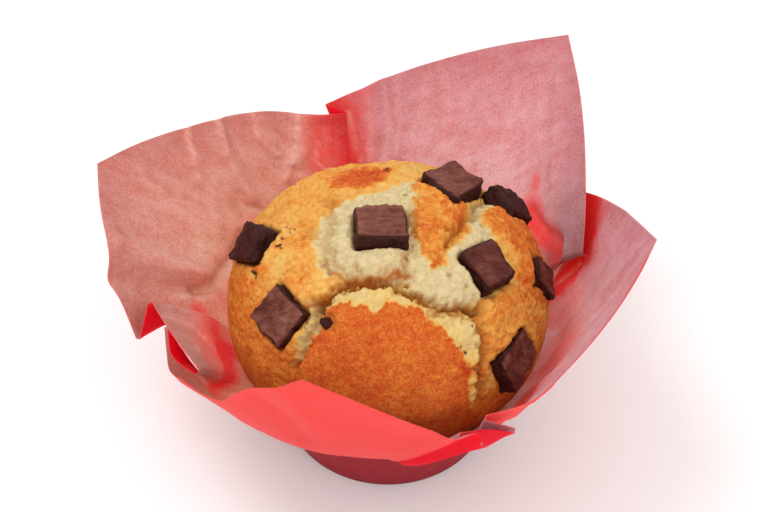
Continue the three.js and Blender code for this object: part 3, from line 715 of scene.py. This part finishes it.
# Where the top is pale crumb, golden or browned: outline, how browned, softness of its edge
bakedZones = [
    ([(-40, 12), (-14, 13), (-4, 13), (-1, 17), (0, 24), (2, 38), (-40, 38)], 0.37, 3),
    ([(0, 14), (7, 15), (9, 22), (8, 38), (1, 38)], 0.3, 2),
    ([(-12, 15), (-7, 13.5), (-1, 16), (0, 21), (-6, 23), (-13, 20)], 0.76, 1.8),
    ([(-26, -6), (-22, -8), (-21, 2), (-21, 9), (-26, 10), (-29, 2)], 0.27, 2),
    ([(-23, 9), (-17, 12), (-17, -2), (-15, -14), (-19, -16), (-22, -6)], 0.33, 2),
    ([(-13, 7), (-9, 9), (-2, 12), (4, 15), (7, 14.5), (6.6, 9), (6.6, 2), (6.4, -4), (8, -7.5),
      (10, -11.5), (12, -9), (15, -5), (17.5, -1), (19, 5), (19, 12), (23, 16), (24, 11), (22, 6),
      (24, 0), (24, -8), (23, -14), (21, -17), (18, -18.5), (12, -19), (7, -18), (3, -15.5),
      (-4, -14.5), (-9, -14.5), (-11, -12), (-14, -12), (-17, -5), (-17, 0), (-15, 4)], 0.05, 0.9),
    ([(-17, -17), (-13.5, -18), (-14, -23), (-19, -28.5), (-22, -27.5), (-18, -22)], 0.12, 0.8),
    ([(18.5, -18.5), (22, -13.5), (29, -8), (34, -9), (37, -14), (33, -20), (28, -27), (22, -33),
      (19.5, -28), (20.5, -22)], 0.43, 1.5),
    ([(6, 14), (10, 14.5), (13.5, 11), (18, 8), (17.5, 4), (14, -3), (12, -5.5), (12.5, -9),
      (10.3, -11.8), (8, -8), (6.2, -4)], 0.48, 0.5),
    ([(13, 8), (18, 8), (17.5, 4), (15, 0.5), (14, 4)], 0.6, 1.6),
    ([(21, 8), (25, 13), (33, 14), (38, 3), (36, -7), (31, -10), (28.5, -6), (30, -1), (27.5, 2),
      (24, 4)], 0.6, 1.2),
    ([(-14, -19.5), (-10.5, -16.3), (-5, -15.9), (0, -15.9), (6, -18.2), (12, -20), (19, -20.2),
      (20.5, -22), (20, -27.5), (18.5, -33), (15, -33), (-13, -23)], 0.17, 0.5),
    ([(-14, -19), (-10, -19), (-5, -20.5), (-3, -22), (0.5, -19.6), (1, -19.4), (4, -20.5), (6, -20),
      (10, -23), (15, -26), (17.5, -29), (18.5, -40), (-28, -40), (-24, -29), (-17, -25), (-14, -22.5)],
      0.68, 0.45),
]

# Small orange and dark marks on the crust: place, size, how browned
bakedSpots = [
    ((-19.5, 3), 2.4, 0.44), ((-18.6, -2), 2.4, 0.46), ((-18, -6.5), 2.2, 0.42), ((-24, -1), 2.2, 0.38),
    ((-19, -11), 2.6, 0.48), ((-29, -5), 2.2, 0.58), ((-27, 9), 3, 0.42), ((0, 20), 1, 0.95),
    ((17, -29), 1.4, 0.85), ((20, -28), 1.1, 0.9), ((26, -14), 2, 0.55), ((29, -10), 2, 0.54),
    ((16, 4), 2, 0.62), ((10, 0), 1.8, 0.58), ((10, -10.5), 1, 0.66),
]

# Chocolate crumbs in the crust, as dark spots of colour: place, size
speckPlaces = [
    ((-22.2, 3.4), 0.4), ((-21.6, 2.2), 0.3), ((15.8, -25.9), 0.45), ((-23.5, -1), 0.45),
    ((-23.2, 0.6), 0.35), ((-22.4, 1.8), 0.35), ((-28.5, 7.5), 0.6), ((-26.8, 7.2), 0.45),
    ((-0.3, 20.6), 0.6), ((-22.4, -8.6), 0.35), ((17.6, -22.5), 0.3), ((18.3, -28.2), 0.6),
    ((19.2, -27), 0.45), ((19, -19.7), 0.5), ((-18.4, -21.6), 0.4), ((-30.5, -4.5), 0.7),
]

# The chocolate: middle of each block's outer face, way and amount it leans, turn, and share of painted light
# and sheen, with dull bloom, on its outer face
chunks = [
    {"node": "chunk_top", "top": (-1.5, -1.1, 68.2), "lean": (45, 7), "turn": 3,
     "size": (11.8, 10.8, 6), "lightAndBloom": 1},
    {"node": "chunk_back", "top": (15.4, 16.8, 63.2), "lean": (38, 20), "turn": 48,
     "size": (12.4, 10.8, 6.6), "lightAndBloom": 1},
    {"node": "chunk_right", "top": (22.7, -8.2, 62), "lean": (-29, 24), "turn": 41,
     "size": (9.4, 10.6, 6), "lightAndBloom": 0.7},
    {"node": "chunk_front_left", "top": (-24.8, -18.6, 55.7), "lean": (-138, 45), "turn": 37,
     "size": (10.8, 11.4, 6), "lightAndBloom": 0.95},
    {"node": "chunk_left", "top": (-32.8, 3.9, 55.6), "lean": (-180, 52), "turn": -42,
     "size": (12, 9.4, 6), "lightAndBloom": 0.15},
    {"node": "chunk_back_right", "top": (29.8, 18, 54), "lean": (20, 50), "turn": 38,
     "size": (11.6, 9.2, 6.4), "lightAndBloom": 0.05},
    {"node": "chunk_right_edge", "top": (37, -0.6, 48.6), "lean": (-4, 66), "turn": 10,
     "size": (9.6, 8.2, 6), "lightAndBloom": 0.8},
    {"node": "chunk_front_right", "top": (29.8, -23.4, 46.4), "lean": (-30, 58), "turn": 62,
     "size": (12.4, 9, 6.2), "lightAndBloom": 0.85},
    {"node": "chip_front", "top": (-13.1, -22.5, 58.3), "lean": (-121, 30), "turn": 20,
     "size": (3.6, 3, 2.4), "lightAndBloom": 0.1},
]


def chunkPose(chunk):
    azimuth, amount = (math.radians(value) for value in chunk["lean"])
    axis = Vector((-math.sin(azimuth), math.cos(azimuth), 0))
    return (Matrix.Translation(chunk["top"]) @ Matrix.Rotation(amount, 4, axis)
            @ Matrix.Rotation(math.radians(chunk["turn"]), 4, "Z")
            @ Matrix.Translation((0, 0, -chunk["size"][2] / 2)))


# Distance from each point to a chunk's block, negative inside it
def distanceToChunk(points, chunk):
    back = np.array(chunkPose(chunk).inverted())
    rounding = muffin["hollowRounding"]
    local = np.abs(points @ back[:3, :3].T + back[:3, 3]) - np.array(chunk["size"]) / 2 + rounding
    return np.linalg.norm(np.maximum(local, 0), axis=1) + np.minimum(local.max(axis=1), 0) - rounding


# The wobble of the baked dome, between -1 and 1
def wobble(x, y, z):
    first = np.sin(x * 1.3 + np.sin(y * 0.9) * 1.7 + z * 0.4)
    second = np.sin(y * 1.1 - z * 1.6 + np.sin(x * 0.7) * 1.4)
    return (first + second + np.sin(z * 1.2 + x * 0.5 - y * 0.6)) / 3


# How browned each place of the top is, 0 pale crumb to 1 dark crust, with painted light on the rim
def brownTone(x, y, xWarp, yWarp, height):
    radius = np.hypot(x, y)
    angle = np.degrees(np.arctan2(y, x))
    # the rim's browning by angle, made paler where the rim lies in shade: painted light
    rim = np.interp(angle, [-180, -150, -110, -70, -40, -20, 0, 30, 60, 110, 150, 180],
                    [0.54, 0.6, 0.66, 0.68, 0.46, 0.36, 0.36, 0.4, 0.35, 0.36, 0.44, 0.54])
    brown = blend(0.33, rim, smoothStep(27, 35, radius))
    for outline, tone, soft in bakedZones:
        inside = smoothStep(-soft, soft, depthInside(xWarp, yWarp, outline))
        brown = blend(brown, tone, inside)
    for (spotX, spotY), size, tone in bakedSpots:
        brown = blend(brown, tone, bump(np.hypot(xWarp - spotX, yWarp - spotY), size))
    return blend(brown, rim, smoothStep(44, 38, height))


def makeMuffinFinish():
    finish = Finish("bakedCrumb", 0.7, Specular_IOR_Level=0.08)
    fine = finish.spread(finish.noise(2300, 2, 0.6), 0.32, 0.68)
    middle = finish.spread(finish.noise(800, 3, 0.6), 0.3, 0.7)
    broad = finish.spread(finish.noise(190, 3, 0.55), 0.3, 0.7)
    shiver = finish.math("MULTIPLY_ADD", fine, 0.4, finish.math("MULTIPLY", middle, 0.4))
    shiver = finish.math("MULTIPLY_ADD", broad, 0.2, shiver)
    brown = finish.tone("brown")
    strength = finish.spread(brown, 0.1, 0.7, 0.14, 0.56)
    drift = finish.math("MULTIPLY", finish.math("SUBTRACT", shiver, 0.5), strength)
    level = finish.math("ADD", brown, drift)
    colour = finish.ramp(level, [(0, (214, 196, 154)), (0.1, (218, 196, 142)), (0.2, (226, 188, 110)),
                                 (0.32, (229, 168, 84)), (0.45, (222, 145, 62)), (0.58, (212, 116, 44)),
                                 (0.7, (202, 94, 38)), (0.84, (190, 64, 26)), (1, (110, 38, 14))])
    # pale crumb has grey-green flecks, and its hollows are painted a little darker, a painted shade
    fleck = finish.spread(finish.noise(1300, 2, 0.5, finish.place((1, 1, 1.3), (0.4, 0.2, 0))), 0.58, 0.72)
    fleck = finish.math("MULTIPLY", fleck, finish.spread(brown, 0.3, 0.1, 0, 0.4))
    colour = finish.mixColour(fleck, colour, linear(150, 136, 96))
    hollowShade = finish.math("MULTIPLY", finish.tone("hollowShade"), 0.5)
    colour = finish.mixColour(hollowShade, colour, linear(168, 126, 70))
    # caramel colour with painted shade in the cracks and round the chunks
    caramelAndShade = finish.mixColour(finish.tone("caramelAndShade"), colour, linear(170, 98, 36))
    speck = finish.mixColour(finish.tone("speck"), caramelAndShade, linear(74, 36, 20))
    finish.link(speck, "Base Color")
    finish.bumps(shiver, 0.5, 0.0004)
    return finish.material


def makeMuffin():
    radius, rise, widest = muffin["radius"], muffin["domeRise"], muffin["widestHeight"]
    floorHeight = muffin["caseFloor"] + muffin["gap"]
    bulgeStart = widest - muffin["bulgeDrop"]

    def wallRadius(height):
        outside = blend(paper["baseRadius"], paper["wallTopRadius"], height / paper["wallTopHeight"])
        return outside - muffin["wallInset"]

    profile = [(wallRadius(floorHeight) * share, floorHeight, 0) for share in (0, 0.4, 0.8)]
    for height in np.linspace(floorHeight, bulgeStart, muffin["wallRows"]):
        profile.append((wallRadius(height), height, 0))
    neck = wallRadius(bulgeStart)
    for turn in np.linspace(0, math.pi / 2, muffin["bulgeRows"])[1:-1]:
        out = neck + (radius - neck) * math.sin(turn)
        profile.append((out, widest - muffin["bulgeDrop"] * math.cos(turn), 0))
    # rows lie closer together where the dome faces the viewer than at its very top
    for share in np.linspace(0, 1, muffin["domeRows"]):
        slope = math.pi / 2 * share
        profile.append((radius * math.cos(slope), widest + rise * math.sin(slope), slope))
    profile = np.array(profile)

    mesh, row, column = spunSheet("muffinCrumb", len(profile), muffin["columns"])
    turn = column / muffin["columns"] * math.tau
    out, up, slope = profile[row].T
    points = np.stack([out * np.cos(turn), out * np.sin(turn), up], -1)
    x, y = points[:, 0], points[:, 1]
    onDome = smoothStep(0, 0.25, slope)
    normals = np.stack([x / radius ** 2, y / radius ** 2, (up - widest) / rise ** 2], -1)
    normals[slope <= 0, 2] = 0
    normals /= np.maximum(np.linalg.norm(normals, axis=1, keepdims=True), 1e-9)

    jagged = clouds(points, 3.2, 3, 1)
    ragged = clouds(points, 1.2, 3, 12)
    xWarp = x + jagged * 1.1 + ragged * 0.8
    yWarp = y + clouds(points, 3.2, 3, 21) * 1.1 + clouds(points, 1.2, 2, 31) * 0.8
    brown = brownTone(x, y, xWarp, yWarp, up)
    crumb = 1 - smoothStep(0.12, 0.5, brown)

    lift = 0.45 * wobble(x * 0.16, y * 0.16, 1) + 0.3 * wobble(x * 0.5, y * 0.5, 2)
    for outline, plateRise, edge in plates:
        lift += plateRise * smoothStep(-edge, edge, depthInside(xWarp, yWarp, outline))
    for (lumpX, lumpY), size, height in lumps:
        lift += height * bump(np.hypot(x - lumpX, y - lumpY), size)
    caramelAndShade = np.zeros(len(points))
    for path, width, depth, tone in cracks:
        distance = distanceToPath(xWarp, yWarp, path)
        lift -= depth * (0.85 * bump(distance, width) + 0.15 * bump(distance, width * 2.6))
        caramelAndShade = np.maximum(caramelAndShade, tone * bump(distance, width * 0.8))
    lumpy = clouds(points, 4.2, 3, 3)
    warped = points + np.stack([xWarp - x, yWarp - y, ragged], -1) * 0.6
    toCrumb, toEdge = crumbs(warped, 2.3, 3)
    toPit = crumbs(warped, 3.4, 8)[0]
    pitted = (1 - smoothStep(0.1, 0.26, toPit)) * smoothStep(0.05, 0.35, lumpy + jagged)
    crumbRelief = muffin["crumbLumps"] * lumpy + muffin["crumbGrain"] * ragged - muffin["pit"] * pitted
    crumbRelief += muffin["crumbCells"] * (smoothStep(0, 0.35, toEdge) - 0.7 * toCrumb)
    golden = smoothStep(0.2, 0.34, brown) * (1 - smoothStep(0.55, 0.68, brown))
    crustRelief = muffin["crustGrain"] * ragged + 0.2 * lumpy
    crustRelief += golden * muffin["crustLumps"] * (smoothStep(0, 0.3, toEdge) + jagged)
    lift += crumb * crumbRelief + (1 - crumb) * crustRelief
    lift *= onDome
    brown += golden * (0.1 * jagged + 0.1 * ragged + 0.06 * (0.4 - toEdge))
    # painted shade in the hollows and pits of the crumb
    hollowShade = np.clip((0.3 - toEdge) * 1.6 + pitted, 0, 1) * crumb

    # painted shade on the crust round each chunk, carried with the caramel colour
    shade = np.zeros(len(points))
    for chunk in chunks:
        distance = distanceToChunk(points, chunk)
        # the crust rises a little round each chunk but the chip, and dips beneath them all
        if chunk["size"][0] > 5:
            lift += muffin["rimRise"] * bump(distance - 1.1, 0.9) * onDome
        lift -= muffin["chunkDip"] * (1 - smoothStep(-0.4, 0.35, distance)) * onDome
        shade = np.maximum(shade, 1 - smoothStep(0.1, 0.7, distance))
    points += normals * lift[:, None]
    writePlaces(mesh, points * mm)
    writeTone(mesh, "brown", brown)
    writeTone(mesh, "hollowShade", hollowShade * onDome)
    writeTone(mesh, "caramelAndShade", np.clip(np.maximum(caramelAndShade, shade * 0.5) * onDome, 0, 1))
    specks = np.zeros(len(points))
    for (speckX, speckY), size in speckPlaces:
        distance = np.hypot(xWarp - speckX, yWarp - speckY)
        specks = np.maximum(specks, 1 - smoothStep(size * 0.6, size, distance))
    writeTone(mesh, "speck", specks * onDome)
    finishPiece(mesh, "muffin_crumb", [makeMuffinFinish()], "muffin")
    print("muffin made,", len(mesh.polygons), "faces")


makeMuffin()


# Chocolate chunks: blocks with soft edges, wavy faces, and outer faces painted lighter as painted light and
# sheen, with a dull bloom

chocolate = {
    "cuts": 30, "rounding": 1.1, "wave": 0.75, "grain": 0.3, "skew": 0.6, "inset": 0.2,
    # a block thinner than this is a chip, with fewer cuts and less wave and skew
    "chipBelow": 3, "chipCuts": 12, "chipRounding": 0.9, "chipWave": 0.5, "chipSkew": 0.4,
}


def makeChocolateFinish():
    finish = Finish("chocolate", 0.4, Specular_IOR_Level=0.2)
    flow = finish.noise(260, 4, 0.62, finish.place((1, 2.6, 1), (0, 0, 0.5)), 1.4)
    grain = finish.noise(1700, 3, 0.6)
    lightAndBloom = finish.noise(170, 4, 0.65)
    # the outer face is painted lighter: painted light and sheen, with a dull bloom
    lit = finish.math("MULTIPLY_ADD", finish.tone("outerFaceLight"), 0.42, finish.math("MULTIPLY", lightAndBloom, 0.5))
    lit = finish.math("MULTIPLY_ADD", flow, 0.35, lit)
    colour = finish.ramp(finish.spread(lit, 0.3, 1.0), [(0, (42, 11, 8)), (0.35, (66, 21, 14)),
                                                        (0.65, (98, 42, 31)), (1, (156, 98, 80))])
    finish.link(colour, "Base Color")
    finish.link(finish.spread(flow, 0.35, 0.65, 0.28, 0.55), "Roughness")
    finish.bumps(finish.math("MULTIPLY_ADD", grain, 0.3, flow), 0.9, 0.0012)
    return finish.material


def makeChunk(chunk, index, material):
    size = np.array(chunk["size"])
    small = size.min() < chocolate["chipBelow"]
    cuts = chocolate["chipCuts"] if small else chocolate["cuts"]
    rounding = chocolate["chipRounding"] if small else chocolate["rounding"]
    bm = bmesh.new()
    bmesh.ops.create_cube(bm, size=1)
    bmesh.ops.subdivide_edges(bm, edges=bm.edges[:], cuts=cuts, use_grid_fill=True)
    bmesh.ops.scale(bm, vec=Vector(chunk["size"]), verts=bm.verts[:])
    mesh = meshFrom(bm, chunk["node"])
    points = readPlaces(mesh)
    wave = clouds(points, 3.6, 2, index * 3 + 1) * chocolate["wave"]
    wave += clouds(points * (1, 0.45, 1), 1.5, 3, index + 5) * chocolate["grain"]
    core = np.clip(points, rounding - size / 2, size / 2 - rounding)
    outward = points - core
    outward /= np.linalg.norm(outward, axis=1, keepdims=True)
    # broken blocks aren't true: each side leans its own way
    lean = np.random.default_rng(index + 3).uniform(-1, 1, 4) * chocolate["skew"]
    if small:
        wave *= chocolate["chipWave"]
        lean *= chocolate["chipSkew"]
    points = core + outward * (rounding + wave[:, None] - chocolate["inset"])
    share = points / size
    points[:, 0] += lean[0] * share[:, 1] + lean[1] * share[:, 0] * share[:, 1] * 2
    points[:, 1] += lean[2] * share[:, 0] + lean[3] * share[:, 0] * share[:, 1] * 2
    # painted light and sheen on the outer face, with a dull bloom
    outerFaceLight = smoothStep(0.55, 0.95, outward[:, 2]) * chunk["lightAndBloom"]
    pose = np.array(chunkPose(chunk))
    points = points @ pose[:3, :3].T + pose[:3, 3]
    writePlaces(mesh, points * mm)
    writeTone(mesh, "outerFaceLight", outerFaceLight)
    finishPiece(mesh, chunk["node"] + "_chocolate", [material], chunk["node"])


def makeChunks():
    material = makeChocolateFinish()
    for index, chunk in enumerate(chunks):
        makeChunk(chunk, index, material)
    print("chunks made")


makeChunks()


# Floor and light

studio = {
    "floorColour": (250, 250, 250), "floorSize": 3, "skyStrength": 0.95, "aim": (0, 0, 0.04),
    "lamps": [
        {"name": "keyLamp", "place": (-0.3, 0.1, 0.8), "size": 0.4, "power": 1.8},
        {"name": "fillLamp", "place": (0.4, -0.75, 0.6), "size": 0.8, "power": 2.0},
    ],
}


def makeStudio():
    bm = bmesh.new()
    bmesh.ops.create_grid(bm, x_segments=2, y_segments=2, size=studio["floorSize"] / 2)
    mesh = meshFrom(bm, "studioFloor")
    finish = Finish("studioFloor", 0.9)
    finish.shader.inputs["Base Color"].default_value = linear(*studio["floorColour"])
    mesh.materials.append(finish.material)
    floor = bpy.data.objects.new("studio_floor", mesh)
    bpy.context.scene.collection.objects.link(floor)

    world = bpy.data.worlds.new("studioSky")
    world.use_nodes = True
    sky = world.node_tree.nodes["Background"]
    sky.inputs["Color"].default_value = (1, 1, 1, 1)
    sky.inputs["Strength"].default_value = studio["skyStrength"]
    bpy.context.scene.world = world

    for lamp in studio["lamps"]:
        data = bpy.data.lights.new(lamp["name"], "AREA")
        data.shape = "DISK"
        data.size = lamp["size"]
        data.energy = lamp["power"]
        light = bpy.data.objects.new(lamp["name"], data)
        light.location = lamp["place"]
        toAim = Vector(studio["aim"]) - Vector(lamp["place"])
        light.rotation_euler = toAim.to_track_quat("-Z", "Y").to_euler()
        bpy.context.scene.collection.objects.link(light)
    bpy.context.scene.view_settings.view_transform = "Standard"
    print("studio ready")


makeStudio()

bpy.context.view_layer.update()
